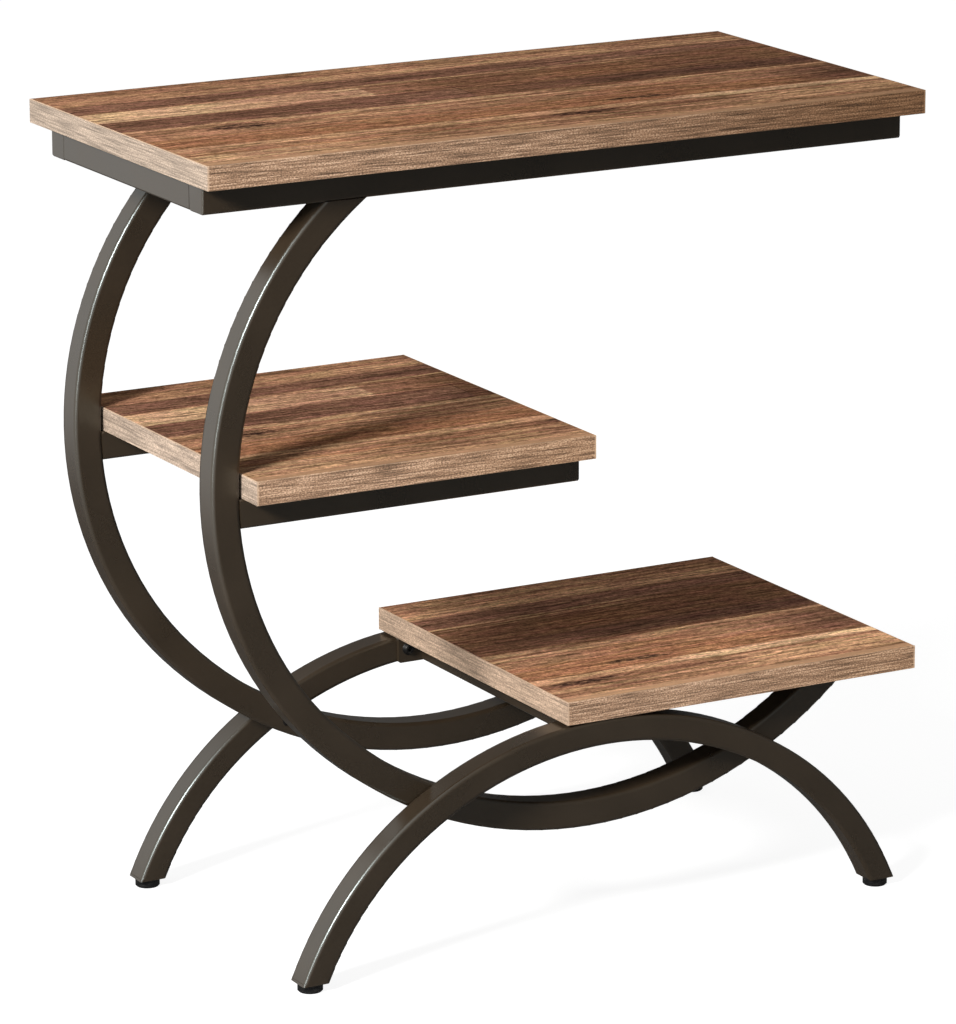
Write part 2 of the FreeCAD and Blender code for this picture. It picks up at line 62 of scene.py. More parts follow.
class Graph:
    # Adds nodes to one tree. Each call but add gives back the new node's output.
    def __init__(self, tree):
        self.tree = tree

    def add(self, kind, **settings):
        node = self.tree.nodes.new(kind)
        for name, value in settings.items():
            setattr(node, name, value)
        return node

    def feed(self, socket, value):
        if isinstance(value, bpy.types.NodeSocket):
            self.tree.links.new(value, socket)
        else:
            socket.default_value = value

    def math(self, operation, a, b=0.0):
        node = self.add("ShaderNodeMath", operation=operation)
        self.feed(node.inputs[0], a)
        self.feed(node.inputs[1], b)
        return node.outputs[0]

    def product(self, *values):
        result = values[0]
        for value in values[1:]:
            result = self.math("MULTIPLY", result, value)
        return result

    def vector(self, operation, a, b=(0.0, 0.0, 0.0)):
        node = self.add("ShaderNodeVectorMath", operation=operation)
        self.feed(node.inputs[0], a)
        self.feed(node.inputs[1], b)
        return node.outputs["Value" if operation in ("LENGTH", "DOT_PRODUCT") else "Vector"]

    def split(self, vector):
        node = self.add("ShaderNodeSeparateXYZ")
        self.feed(node.inputs[0], vector)
        return node.outputs

    def join(self, x, y, z=0.0):
        node = self.add("ShaderNodeCombineXYZ")
        for socket, value in zip(node.inputs, (x, y, z)):
            self.feed(socket, value)
        return node.outputs[0]

    def spread(self, value, low, high, to_low=0.0, to_high=1.0, curve="SMOOTHSTEP"):
        node = self.add("ShaderNodeMapRange", interpolation_type=curve)
        for socket, number in zip(node.inputs, (value, low, high, to_low, to_high)):
            self.feed(socket, number)
        return node.outputs[0]

    def sway(self, noise, to_low, to_high):
        # Evenly from one value to the other over the range of a noise
        return self.spread(noise, *NOISE_RANGE, to_low, to_high, "LINEAR")

    def between(self, value, low, high, soft):
        # 1 between low and high, fading to 0 over soft on each side
        rise = self.spread(value, low - soft, low + soft)
        fall = self.spread(value, high - soft, high + soft, 1.0, 0.0)
        return self.math("MULTIPLY", rise, fall)

    def noise(self, vector, size, detail=2.0, roughness=0.5, distortion=0.0):
        # size is the length of one lump along each axis, in the vector's units
        node = self.add("ShaderNodeTexNoise", noise_dimensions="3D")
        stretched = self.vector("MULTIPLY", vector, tuple(1.0 / length for length in size))
        self.feed(node.inputs["Vector"], stretched)
        self.feed(node.inputs["Scale"], 1.0)
        self.feed(node.inputs["Detail"], detail)
        self.feed(node.inputs["Roughness"], roughness)
        self.feed(node.inputs["Distortion"], distortion)
        return node.outputs["Fac"]

    def waver(self, vector, size, detail, amount):
        # A noise about 0, amount wide from end to end
        centred = self.math("SUBTRACT", self.noise(vector, size, detail), 0.5)
        return self.math("MULTIPLY", centred, amount)

    def layer(self, vector, layer):
        # The layer's noise, and the lightness that it gives
        noise = self.noise(vector, layer.size, layer.detail, layer.roughness, layer.distortion)
        light = self.spread(noise, layer.low, layer.high, layer.dark, layer.light, "LINEAR")
        return noise, light

    def mix(self, factor, a, b, blend="MIX"):
        node = self.add("ShaderNodeMix", data_type="RGBA", blend_type=blend)
        self.feed(node.inputs[0], factor)
        self.feed(node.inputs[6], a)
        self.feed(node.inputs[7], b)
        return node.outputs[2]

    def mix_value(self, factor, a, b):
        node = self.add("ShaderNodeMix", data_type="FLOAT")
        self.feed(node.inputs[0], factor)
        self.feed(node.inputs[2], a)
        self.feed(node.inputs[3], b)
        return node.outputs[0]

    def brighten(self, colour, factor):
        node = self.add("ShaderNodeVectorMath", operation="SCALE")
        self.feed(node.inputs[0], colour)
        self.feed(node.inputs["Scale"], factor)
        return node.outputs["Vector"]

    def choose(self, factor, a, b):
        # Vector a where factor is 0 and vector b where it is 1
        node = self.add("ShaderNodeMix", data_type="VECTOR")
        self.feed(node.inputs[0], factor)
        self.feed(node.inputs[4], a)
        self.feed(node.inputs[5], b)
        return node.outputs[1]

    def bump(self, height, strength, depth, normal=None):
        node = self.add("ShaderNodeBump")
        if normal is not None:
            self.feed(node.inputs["Normal"], normal)
        self.feed(node.inputs["Strength"], strength)
        self.feed(node.inputs["Distance"], depth)
        self.feed(node.inputs["Height"], height)
        return node.outputs["Normal"]

    def geometry(self, output):
        return self.add("ShaderNodeNewGeometry").outputs[output]


def new_material(name, **constants):
    # A material with one surface shader, whose constant values are set on its own sockets
    material = bpy.data.materials.new(name)
    material.use_nodes = True
    tree = material.node_tree
    tree.nodes.clear()
    graph = Graph(tree)
    shader = graph.add("ShaderNodeBsdfPrincipled")
    output = graph.add("ShaderNodeOutputMaterial")
    tree.links.new(shader.outputs[0], output.inputs["Surface"])
    for socket, value in constants.items():
        shader.inputs[socket.replace("_", " ")].default_value = value
    return material, graph, shader


def place_in_mm(graph):
    coordinates = graph.add("ShaderNodeTexCoord")
    return graph.vector("MULTIPLY", coordinates.outputs["Object"], (1000.0, 1000.0, 1000.0))


def paint(material, *names):
    for name in names:
        data = frame["nodes"][name].data
        data.materials.clear()
        data.materials.append(material)


WELD_REACH = 0.000002
LARGE_FACES_FIRST = 100


def smooth(thing, crisp_degrees):
    # Rounded edges shade as rounds, and corners sharper than the given angle stay crisp
    thing.data.polygons.foreach_set("use_smooth", [True] * len(thing.data.polygons))
    weld = thing.modifiers.new("weld", "WELD")
    weld.merge_threshold = WELD_REACH
    split = thing.modifiers.new("crisp", "EDGE_SPLIT")
    split.split_angle = math.radians(crisp_degrees)
    shade = thing.modifiers.new("even", "WEIGHTED_NORMAL")
    shade.mode = "FACE_AREA"
    shade.weight = LARGE_FACES_FIRST


# Wood-look print of the boards. Its own plane is in millimetres: u runs along the grain from the
# top board's left end, v runs across it from the top board's back edge.

PALE = tone(188, 152, 117)
TAN = tone(176, 136, 102)
FAWN = tone(158, 117, 88)
RUSSET = tone(146, 102, 73)
BROWN = tone(120, 85, 63)
PLUM = tone(122, 87, 69)
DARK = tone(104, 73, 57)
UMBER = tone(80, 57, 46)
ROSE = tone(170, 126, 99)
KNOT_TONE = tone(66, 47, 39)
EVERY_U = (-400.0, 1000.0)

# Strips laid over a brown ground: tone, v from and to, u from and to, softness across and along,
# strength, slope
Strip = namedtuple("Strip", "tone low high start end soft run_out strength slope")
STRIPS = [Strip(*row) for row in (
    (FAWN, -40, 20, *EVERY_U, 4, 1, 0.45, 0),
    (TAN, 3, 15, 230, 500, 4, 40, 0.55, 0),
    (FAWN, 19, 51, *EVERY_U, 4, 1, 1.0, 0),
    (TAN, 27, 40, 190, 700, 3.0, 60, 0.8, 0),
    (TAN, 44, 49, 90, 290, 1.5, 40, 0.8, 0),
    (PLUM, 51, 80, -60, 480, 3, 70, 0.9, 0.025),
    (DARK, 56, 70, 110, 420, 5, 50, 0.5, 0.02),
    (PLUM, 60, 84, 430, 800, 3, 50, 0.9, 0.03),
    (TAN, 82, 85.5, -60, 500, 1.2, 60, 0.85, 0.03),
    (TAN, 88.5, 90, 290, 510, 0.7, 40, 0.7, 0.03),
    (TAN, 92.5, 93.6, 330, 490, 0.6, 40, 0.6, 0.03),
    (BROWN, 90, 120, 232, 800, 2, 0.5, 0.6, 0),
    (PALE, 84, 119, -80, 232, 1.4, 0.5, 1.0, 0.01),
    (ROSE, 84, 121, 130, 234, 3, 60, 0.85, 0.01),
    (RUSSET, 88, 126, 390, 465, 8, 25, 0.6, 0),
    (PLUM, 119, 158, -80, 297, 2, 0.5, 0.95, 0),
    (DARK, 124, 146, -80, 200, 6, 70, 0.75, 0),
    (BROWN, 119, 156, 297, 800, 2, 0.5, 0.9, 0),
    (DARK, 126, 155, 330, 800, 4, 70, 0.9, 0),
    (UMBER, 134, 152, 420, 800, 5, 90, 0.45, 0),
    (UMBER, 104, 142, 296.4, 297.6, 1, 0.4, 0.8, 0),
    (TAN, 158, 166, -80, 350, 1.5, 50, 0.75, 0),
    (PALE, 162, 166, 110, 340, 1, 40, 0.6, 0),
    (FAWN, 166, 200, *EVERY_U, 3, 1, 0.75, 0),
    (TAN, 187, 192, 100, 420, 1.4, 40, 0.7, 0.05),
    (TAN, 177, 182.5, 430, 800, 1.4, 30, 0.95, 0.033),
    (TAN, 198, 203, 310, 440, 1.4, 30, 0.85, 0.075),
    (RUSSET, 176, 197, 380, 470, 5, 30, 0.7, 0),
    (DARK, 170, 222, 530, 800, 6, 40, 0.85, 0),
    (RUSSET, 199, 233, -80, 540, 3, 40, 0.85, 0),
    (FAWN, 205, 209, 40, 330, 1.2, 60, 0.7, 0),
    (TAN, 234, 246, -80, 440, 2, 40, 0.9, 0),
    (PALE, 229, 243, 425, 800, 1.8, 18, 0.95, 0),
    (FAWN, 247, 261, *EVERY_U, 2.5, 1, 0.8, 0),
    (BROWN, 249, 260, 190, 465, 2.5, 60, 0.8, 0),
    (TAN, 262, 340, *EVERY_U, 3, 1, 0.62, 0),
    (PALE, 266, 288, -80, 110, 5, 40, 0.4, 0),
    (BROWN, 270, 281, 290, 460, 3, 60, 0.7, 0),
    (TAN, 249, 278, 465, 800, 4, 30, 0.9, 0),
    (BROWN, 280, 286, 480, 800, 2, 40, 0.65, 0),
    (RUSSET, 262, 266, -80, 260, 1.5, 60, 0.8, 0.02),
    (BROWN, 275, 278, 20, 330, 1.2, 60, 0.7, 0.01),
    (DARK, 254, 256, 30, 210, 1, 40, 0.6, 0.02),
    (DARK, 268.5, 270.5, 120, 420, 1, 50, 0.6, -0.01),
    (DARK, 284, 286, 60, 300, 1, 50, 0.55, 0),
    (TAN, 289, 340, *EVERY_U, 2, 1, 0.7, 0),
)]

# Knots and dark streaks: u and v of the middle, half length, half width, strength, and how far the
# grain bends round them. The grain bends out to KNOT_REACH half sizes from the middle, and the dark
# ends between the two of KNOT_RIM.
Knot = namedtuple("Knot", "u v length width strength lift")
KNOTS = [Knot(*row) for row in (
    (88, 176, 31, 13, 1.0, 0.8),
    (400, 218, 34, 5, 1.0, 0.5),
    (335, 252, 42, 6.5, 0.95, 0.5),
    (200, 168, 16, 3, 0.6, 0.3),
    (355, 184, 14, 3.5, 0.6, 0.4),
    (440, 256, 30, 3, 0.55, 0.3),
    (520, 112, 40, 6, 0.4, 0.3),
)]
KNOT_REACH = 2.6
KNOT_RIM = (0.5, 1.15)
KNOT_BEND = 0.45

# The grain, from broad bands to single fibres
GRAIN = {
    "bands": Layer((230, 12, 1), 3, 0.6, 0.0, *NOISE_RANGE, 0.86, 1.18),
    "lines": Layer((80, 4.2, 1), 4, 0.72, 0.0, 0.36, 0.64, 0.45, 1.55),
    "flecks": Layer((8, 3.0, 1), 3, 0.65, 0.0, 0.34, 0.66, 0.6, 1.4),
    "threads": Layer((26, 1.3, 1), 3, 0.62, 0.0, *NOISE_RANGE, 0.77, 1.25),
    "grit": Layer((1.9, 3.4, 1), 2, 0.6, 0.0, *NOISE_RANGE, 0.68, 1.34),
}
PORE_SIZE = (18, 2.8, 1)
PORE_EDGE = (0.54, 0.66)
PORE_LIGHT = (1.1, 0.58)
ROSY = (1.05, 0.965, 1.03, 1)
GOLDEN = (0.97, 1.02, 0.96, 1)


def strip_mask(graph, u, v, strip):
    if strip.slope:
        v = graph.math("ADD", v, graph.math("MULTIPLY", u, strip.slope))
    mask = graph.product(graph.between(v, strip.low, strip.high, strip.soft), strip.strength)
    if (strip.start, strip.end) != EVERY_U:
        mask = graph.product(mask, graph.between(u, strip.start, strip.end, strip.run_out))
    return mask


def round_knots(graph, u, v, rough):
    # The place across the print as the grain bends round the knots, and how dark the knots are
    bent = v
    dark = 0.0
    for knot in KNOTS:
        offset = graph.math("SUBTRACT", v, knot.v)
        along = graph.math("DIVIDE", graph.math("SUBTRACT", u, knot.u), knot.length)
        across = graph.math("DIVIDE", offset, knot.width)
        distance = graph.vector("LENGTH", graph.join(along, across))
        distance = graph.math("ADD", distance, rough)
        lift = graph.spread(distance, 0.0, KNOT_REACH, knot.lift, 0.0)
        bent = graph.math("SUBTRACT", bent, graph.product(offset, lift, KNOT_BEND))
        spot = graph.spread(distance, *KNOT_RIM, knot.strength, 0.0)
        dark = graph.math("MAXIMUM", dark, spot)
    return bent, dark


def wood_print():
    # One node group that turns a place in the print's plane into its colour and grain height
    tree = bpy.data.node_groups.new("wood_print", "ShaderNodeTree")
    tree.interface.new_socket("Place", in_out="INPUT", socket_type="NodeSocketVector")
    tree.interface.new_socket("Colour", in_out="OUTPUT", socket_type="NodeSocketColor")
    tree.interface.new_socket("Height", in_out="OUTPUT", socket_type="NodeSocketFloat")
    graph = Graph(tree)
    place = graph.add("NodeGroupInput").outputs[0]
    u, v, _ = graph.split(place)
    rough = graph.waver(place, (9, 3, 1), 3, 1.1)
    flowing, dark = round_knots(graph, u, v, rough)
    wander = graph.waver(place, (150, 34, 1), 2, 9.0)
    ripple = graph.waver(place, (26, 5, 1), 2, 2.2)
    flowing = graph.math("ADD", flowing, wander)
    flowing = graph.math("ADD", flowing, ripple)

    colour = BROWN
    for strip in STRIPS:
        colour = graph.mix(strip_mask(graph, u, flowing, strip), colour, strip.tone)

    along_grain = graph.join(u, flowing)
    _, bands_light = graph.layer(along_grain, GRAIN["bands"])
    lines, lines_light = graph.layer(along_grain, GRAIN["lines"])
    flecks, flecks_light = graph.layer(along_grain, GRAIN["flecks"])
    _, threads_light = graph.layer(along_grain, GRAIN["threads"])
    _, grit_light = graph.layer(place, GRAIN["grit"])
    pores = graph.spread(graph.noise(along_grain, PORE_SIZE, 3, 0.6, 0.4), *PORE_EDGE)
    pores_light = graph.spread(pores, 0.0, 1.0, *PORE_LIGHT, "LINEAR")
    level = graph.product(bands_light, lines_light, flecks_light, threads_light, grit_light,
                          pores_light)

    broken = graph.spread(flecks, 0.4, 0.64, 1.0, 0.4)
    colour = graph.mix(graph.product(dark, broken), colour, KNOT_TONE)
    hue = graph.spread(graph.noise(along_grain, (40, 6, 1), 3), 0.36, 0.64)
    colour = graph.mix(1.0, colour, graph.mix(hue, ROSY, GOLDEN), "MULTIPLY")
    colour = graph.brighten(colour, level)
    height = graph.math("SUBTRACT", lines, graph.math("MULTIPLY", pores, 0.8))
    output = graph.add("NodeGroupOutput")
    tree.links.new(colour, output.inputs[0])
    tree.links.new(height, output.inputs[1])
    return tree


# The smooth strip along a board's front edge ends between these distances from the edge, in mm
FRONT_STRIP = (8.5, 11.0)
FRONT_STRIP_TONE = tone(172, 134, 103)
# Tones of the painted shade on the boards' undersides
UNDERSIDE_SHADE_TONES = (tone(50, 42, 36), tone(60, 51, 44))


def board_material(name, group, box, u_offset, v_offset, shade, light_falloff):
    # box has the board's left, right, front and back edges; the offsets say which part of the print
    # it was cut from. The shade is painted light that makes the whole board lighter or darker, and
    # it goes down by the given falloff towards the right, painted shade where the light falls off.
    # A smooth strip runs along the front edge, and the underside is painted dark brown-grey,
    # painted shade under the board.
    left, right, front, back = box
    material, graph, shader = new_material(name, Specular_IOR_Level=0.0)
    spot = place_in_mm(graph)
    x, y, _ = graph.split(spot)
    place = graph.vector("MULTIPLY", spot, (1.0, -1.0, 0.0))
    place = graph.vector("ADD", place, (u_offset - left, v_offset + back, 0.0))
    wood = graph.add("ShaderNodeGroup")
    wood.node_tree = group
    graph.feed(wood.inputs[0], place)
    colour, height = wood.outputs
    strip = graph.spread(y, front + FRONT_STRIP[0], front + FRONT_STRIP[1], 0.75, 0.0)
    colour = graph.mix(strip, colour, FRONT_STRIP_TONE)
    # Painted light: the board's shade, falling off towards the right as painted shade
    colour = graph.brighten(colour, graph.spread(x, left, right, shade, shade * light_falloff))
    facing = graph.split(graph.geometry("True Normal"))
    # Painted shade under the board: the faces that look down turn dark brown-grey
    underside_shade = graph.spread(facing[2], -0.8, -0.5, 1.0, 0.0)
    mottle = graph.spread(graph.noise(spot, (6, 6, 6), 3), *NOISE_RANGE)
    colour = graph.mix(underside_shade, colour, graph.mix(mottle, *UNDERSIDE_SHADE_TONES))
    roughness = graph.spread(height, -0.2, 0.8, 0.58, 0.44, "LINEAR")
    graph.feed(shader.inputs["Base Color"], colour)
    graph.feed(shader.inputs["Roughness"], roughness)
    graph.feed(shader.inputs["Normal"], graph.bump(height, 0.25, 0.0003))
    return material


# Edge banding, from broad shades to single grains
BANDING = {
    "broad": Layer((90, 90, 8), 2, 0.5, 0.0, *NOISE_RANGE, 0.94, 1.06),
    "lines": Layer((36, 36, 1.1), 2, 0.5, 0.25, *NOISE_RANGE, 0.36, 1.64),
    "grains": Layer((1.5, 1.5, 0.85), 2, 0.5, 0.0, *NOISE_RANGE, 0.42, 1.58),
}
BANDING_TONE = tone(163, 129, 102)
PALE_FLECK_TONE = tone(222, 195, 168)
# Painted highlight on the rounded bevels
BEVEL_HIGHLIGHT_TONE = tone(196, 164, 134)
# Painted highlight along the front's corners at each end
CORNER_HIGHLIGHT_TONE = tone(214, 184, 156)
# Part of the length after which the front begins to fade as painted shade, and how far in from each
# end the front carries a painted highlight along its corner, in mm
SHADE_START = 0.25
CORNER_HIGHLIGHT_REACH = (0.8, 1.8)


def edge_material(name, box, end_sheen_tone, front_light, right_end_shade):
    # Edge banding: tan with fine broken lines along the edge, plainer on the short ends, and paler
    # there as a painted sheen. The front's lightness is painted light, and its turning browner to
    # the right, by the fade of red, green and blue at the right end, is painted shade where the
    # light falls off.
    left, right = box[:2]
    material, graph, shader = new_material(name, Specular_IOR_Level=0.3)
    place = place_in_mm(graph)
    x = graph.split(place)[0]
    facing = graph.split(graph.geometry("True Normal"))
    end = graph.spread(graph.math("ABSOLUTE", facing[0]), 0.5, 0.8)
    _, broad_light = graph.layer(place, BANDING["broad"])
    _, lines_light = graph.layer(place, BANDING["lines"])
    grains, grains_light = graph.layer(place, BANDING["grains"])
    level = graph.product(broad_light, lines_light, grains_light)
    level = graph.mix_value(graph.product(end, 0.35), level, 1.0)
    # Painted light: the front's lightness, set for each board
    level = graph.product(level, graph.mix_value(end, front_light, 1.0))
    # The short ends take a paler tone, a painted sheen
    colour = graph.brighten(graph.mix(end, BANDING_TONE, end_sheen_tone), level)
    pale = graph.spread(level, 1.2, 1.8, 0.0, 0.55)
    pale = graph.product(pale, graph.spread(end, 0.0, 1.0, 1.0, 0.2))
    colour = graph.mix(pale, colour, PALE_FLECK_TONE)
    # Painted highlight: a lighter tone on the rounded bevels
    bevel_highlight = graph.between(graph.math("ABSOLUTE", facing[2]), 0.35, 0.9, 0.05)
    colour = graph.mix(graph.product(bevel_highlight, 0.5), colour, BEVEL_HIGHLIGHT_TONE)
    # Painted highlight: a lighter tone on the front near each end's corner
    from_end = graph.math("MINIMUM", graph.math("SUBTRACT", x, left),
                          graph.math("SUBTRACT", right, x))
    corner_highlight = graph.spread(from_end, *CORNER_HIGHLIGHT_REACH, 0.75, 0.0)
    corner_highlight = graph.product(corner_highlight, graph.spread(end, 0.0, 1.0, 1.0, 0.0))
    colour = graph.mix(corner_highlight, colour, CORNER_HIGHLIGHT_TONE)
    # Painted shade: the front browns towards the right end, where the light falls off
    along = graph.spread(x, left + SHADE_START * (right - left), right)
    colour = graph.mix(along, colour, graph.mix(1.0, colour, (*right_end_shade, 1.0), "MULTIPLY"))
    graph.feed(shader.inputs["Base Color"], colour)
    graph.feed(shader.inputs["Roughness"], graph.sway(grains, 0.64, 0.5))
    graph.feed(shader.inputs["Normal"], graph.bump(grains, 0.3, 0.0002))
    return material


# Metal and plastic

# A tube bent to two arcs, in mm: x of the middle, whether both sides of the middle bend the same
# way, both arcs as centre x, centre z and radius, the ray between them as x and z of its direction
# turned so that the end arc lies on its positive side, y of the tube on each side of the table, and
# half depth, half width and corner of the section
BentTube = namedtuple("BentTube", "middle mirror base_arc end_arc ray y section")
C_TUBE = BentTube(
    middle=0.0, mirror=False, base_arc=(-10.0, 377.9, 268.0), end_arc=(25.967, 412.633, 318.0),
    ray=(0.71934, 0.69466), y=116.0, section=(11.0, 11.0, 3.2))
ARCH_TUBE = BentTube(
    middle=25.967, mirror=True, base_arc=(0.0, -115.6, 279.0), end_arc=(15.098, -93.216, 252.0),
    ray=(0.55919, 0.82904), y=138.0, section=(10.0, 11.0, 3.2))


def past_edge(graph, offset, flat):
    # How far an offset lies past the flat part of a tube's side, with the offset's sign
    beyond = graph.math("SUBTRACT", graph.math("ABSOLUTE", offset), flat)
    beyond = graph.math("MAXIMUM", beyond, 0.0)
    return graph.math("MULTIPLY", beyond, graph.math("SIGN", offset))


def bent_tube_normal(graph, place, tube):
    # The true outward direction of a rounded tube bent to two arcs: a base arc, and an end arc past
    # a ray from the base arc's centre. The tube's inside and its cut ends keep their own normal.
    x, y, z = graph.split(place)
    across = graph.math("SUBTRACT", x, tube.middle)
    side = graph.math("SIGN", across) if tube.mirror else 1.0
    across = graph.math("MULTIPLY", across, side)
    base_x, base_z, base_radius = tube.base_arc
    end_x, end_z, end_radius = tube.end_arc
    ray_x, ray_z = tube.ray
    lean_x = graph.math("MULTIPLY", graph.math("SUBTRACT", across, base_x), ray_z)
    lean_z = graph.math("MULTIPLY", graph.math("SUBTRACT", z, base_z), ray_x)
    ended = graph.math("GREATER_THAN", graph.math("SUBTRACT", lean_x, lean_z), 0.0)
    out_x = graph.math("SUBTRACT", across, graph.mix_value(ended, base_x, end_x))
    out_z = graph.math("SUBTRACT", z, graph.mix_value(ended, base_z, end_z))
    outward = graph.join(graph.math("MULTIPLY", out_x, side), 0.0, out_z)
    reach = graph.vector("LENGTH", outward)
    offset = graph.math("SUBTRACT", reach, graph.mix_value(ended, base_radius, end_radius))
    sideways = graph.math("SUBTRACT", graph.math("ABSOLUTE", y), tube.y)
    half_depth, half_width, corner = tube.section
    deep = past_edge(graph, offset, half_depth - corner)
    wide = past_edge(graph, sideways, half_width - corner)
    wide = graph.math("MULTIPLY", wide, graph.math("SIGN", y))
    normal = graph.brighten(graph.vector("NORMALIZE", outward), deep)
    normal = graph.vector("ADD", normal, graph.join(0.0, wide, 0.0))
    normal = graph.vector("NORMALIZE", normal)
    agree = graph.vector("DOT_PRODUCT", normal, graph.geometry("True Normal"))
    outer = graph.math("GREATER_THAN", agree, 0.6)
    return graph.choose(outer, graph.geometry("Normal"), normal)


COAT_TINT = (0.88, 1.0, 0.99, 1.0)


def coat_material(name, tube=None):
    # Satin powder coat: dark bronze-black, with a fine orange-peel skin and faint cloudiness
    material, graph, shader = new_material(name, Specular_IOR_Level=0.78, Specular_Tint=COAT_TINT)
    place = place_in_mm(graph)
    clouds = graph.noise(place, (60, 60, 60), 3)
    specks = graph.noise(place, (0.9, 0.9, 0.9), 2)
    colour = graph.mix(graph.spread(clouds, *NOISE_RANGE), tone(49, 39, 28), tone(54, 43, 31))
    colour = graph.mix(graph.spread(specks, 0.6, 0.75, 0.0, 0.3), colour, tone(63, 52, 39))
    normal = bent_tube_normal(graph, place, tube) if tube else None
    graph.feed(shader.inputs["Base Color"], colour)
    graph.feed(shader.inputs["Roughness"], graph.sway(clouds, 0.26, 0.32))
    graph.feed(shader.inputs["Normal"], graph.bump(specks, 0.1, 0.0001, normal))
    return material


def bolt_material():
    # Black oxide, a little worn
    material, graph, shader = new_material("black_oxide", Metallic=0.7, Specular_IOR_Level=0.5)
    wear = graph.noise(place_in_mm(graph), (2.4, 2.4, 2.4), 4, 0.6)
    colour = graph.mix(graph.spread(wear, 0.5, 0.75), tone(38, 37, 36), tone(84, 80, 74))
    graph.feed(shader.inputs["Base Color"], colour)
    graph.feed(shader.inputs["Roughness"], graph.sway(wear, 0.48, 0.34))
    return material


def zinc_material():
    # Bright zinc plate with faint spangle
    material, graph, shader = new_material("zinc_plate", Metallic=1.0)
    spangle = graph.noise(place_in_mm(graph), (1.6, 1.6, 1.6), 3, 0.55)
    patches = graph.spread(spangle, 0.35, 0.65)
    colour = graph.mix(patches, tone(178, 180, 184), tone(206, 207, 205))
    graph.feed(shader.inputs["Base Color"], colour)
    graph.feed(shader.inputs["Roughness"], graph.sway(spangle, 0.24, 0.38))
    return material


def foot_material():
    # Glossy moulded black plastic with a faint moulding texture
    material, graph, shader = new_material("foot_plastic", Specular_IOR_Level=0.5)
    place = place_in_mm(graph)
    skin = graph.noise(place, (0.6, 0.6, 0.6), 2)
    scuff = graph.noise(place, (5, 5, 1.2), 3)
    colour = graph.mix(graph.spread(scuff, 0.45, 0.75), tone(20, 20, 20), tone(36, 35, 34))
    graph.feed(shader.inputs["Base Color"], colour)
    graph.feed(shader.inputs["Roughness"], graph.sway(scuff, 0.16, 0.28))
    graph.feed(shader.inputs["Normal"], graph.bump(skin, 0.06, 0.0001))
    return material


# Boards: name, u and v of the part of the print each is cut from, its shade (painted light that
# makes the whole board lighter or darker) and how far that shade falls off to the right (painted
# shade); for its edge banding the tone of the short ends (paler as a painted sheen), the lightness
# of the front (painted light) and the fade of its right end (painted shade)
BOARDS = [
    ("top", 0, 0, 0.92, 0.82, tone(154, 137, 121), 0.97, (0.55, 0.46, 0.36)),
    ("mid", 35, 7, 0.95, 1.0, tone(160, 141, 124), 1.08, (0.97, 0.93, 0.87)),
    ("lower", 294, -6, 1.25, 0.97, tone(168, 143, 121), 1.05, (0.97, 0.93, 0.87)),
]

# Angles in degrees from which an edge stays crisp, on the tubes and on all else
TUBE_CRISP = 80
PLAIN_CRISP = 32


def dress():
    group = wood_print()
    for name, u_offset, v_offset, shade, light_falloff, end_sheen_tone, front_light, right_end_shade in BOARDS:
        low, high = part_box(name + "_edge_banding")
        box = [edge * 1000 for edge in (low[0], high[0], low[1], high[1])]
        board = board_material(name + "_board", group, box, u_offset, v_offset, shade, light_falloff)
        paint(board, name + "_panel")
        paint(edge_material(name + "_edges", box, end_sheen_tone, front_light, right_end_shade),
              name + "_edge_banding")
    made = {
        "coated_tube": coat_material("powder_coat"), "black_bolts": bolt_material(),
        "plated_steel": zinc_material(), "foot_plastic": foot_material(),
    }
    for piece in frame["record"]["subparts"]:
        node, slot = piece["node"], piece["material_slot"]
        if slot in made:
            paint(made[slot], node)
        smooth(frame["nodes"][node], TUBE_CRISP if slot == "coated_tube" else PLAIN_CRISP)
    paint(coat_material("powder_coat_c_tubes", C_TUBE), "c_tube_front", "c_tube_back")
    paint(coat_material("powder_coat_arches", ARCH_TUBE), "arch_front", "arch_back")


# Floor, light and camera

FLOOR_HALF = 12.0
FLOOR_DROP = 0.0002
# Reflectance of the floor: a pale sheet near the object and darker past it, and what reflections
# and the camera see of it
SHEET_EDGE = (0.6, 1.5)
SHEET_SHADES = (0.85, 0.12)
FLOOR_IN_REFLECTIONS = grey(0.04)
FLOOR_IN_VIEW = grey(0.3)
FLOOR_GLOW = 0.88
# Where along x the bright left part of the floor and of the sky ends in reflections, and how bright
# both parts are
FLOOR_BRIGHT_EDGE = (-1.25, -0.35)
FLOOR_BRIGHTNESS = (1.0, 0.06)
SKY_BRIGHT_EDGE = (-0.35, 0.05)
SKY_BRIGHTNESS = (1.0, 0.14)
AMBIENT = 0.35


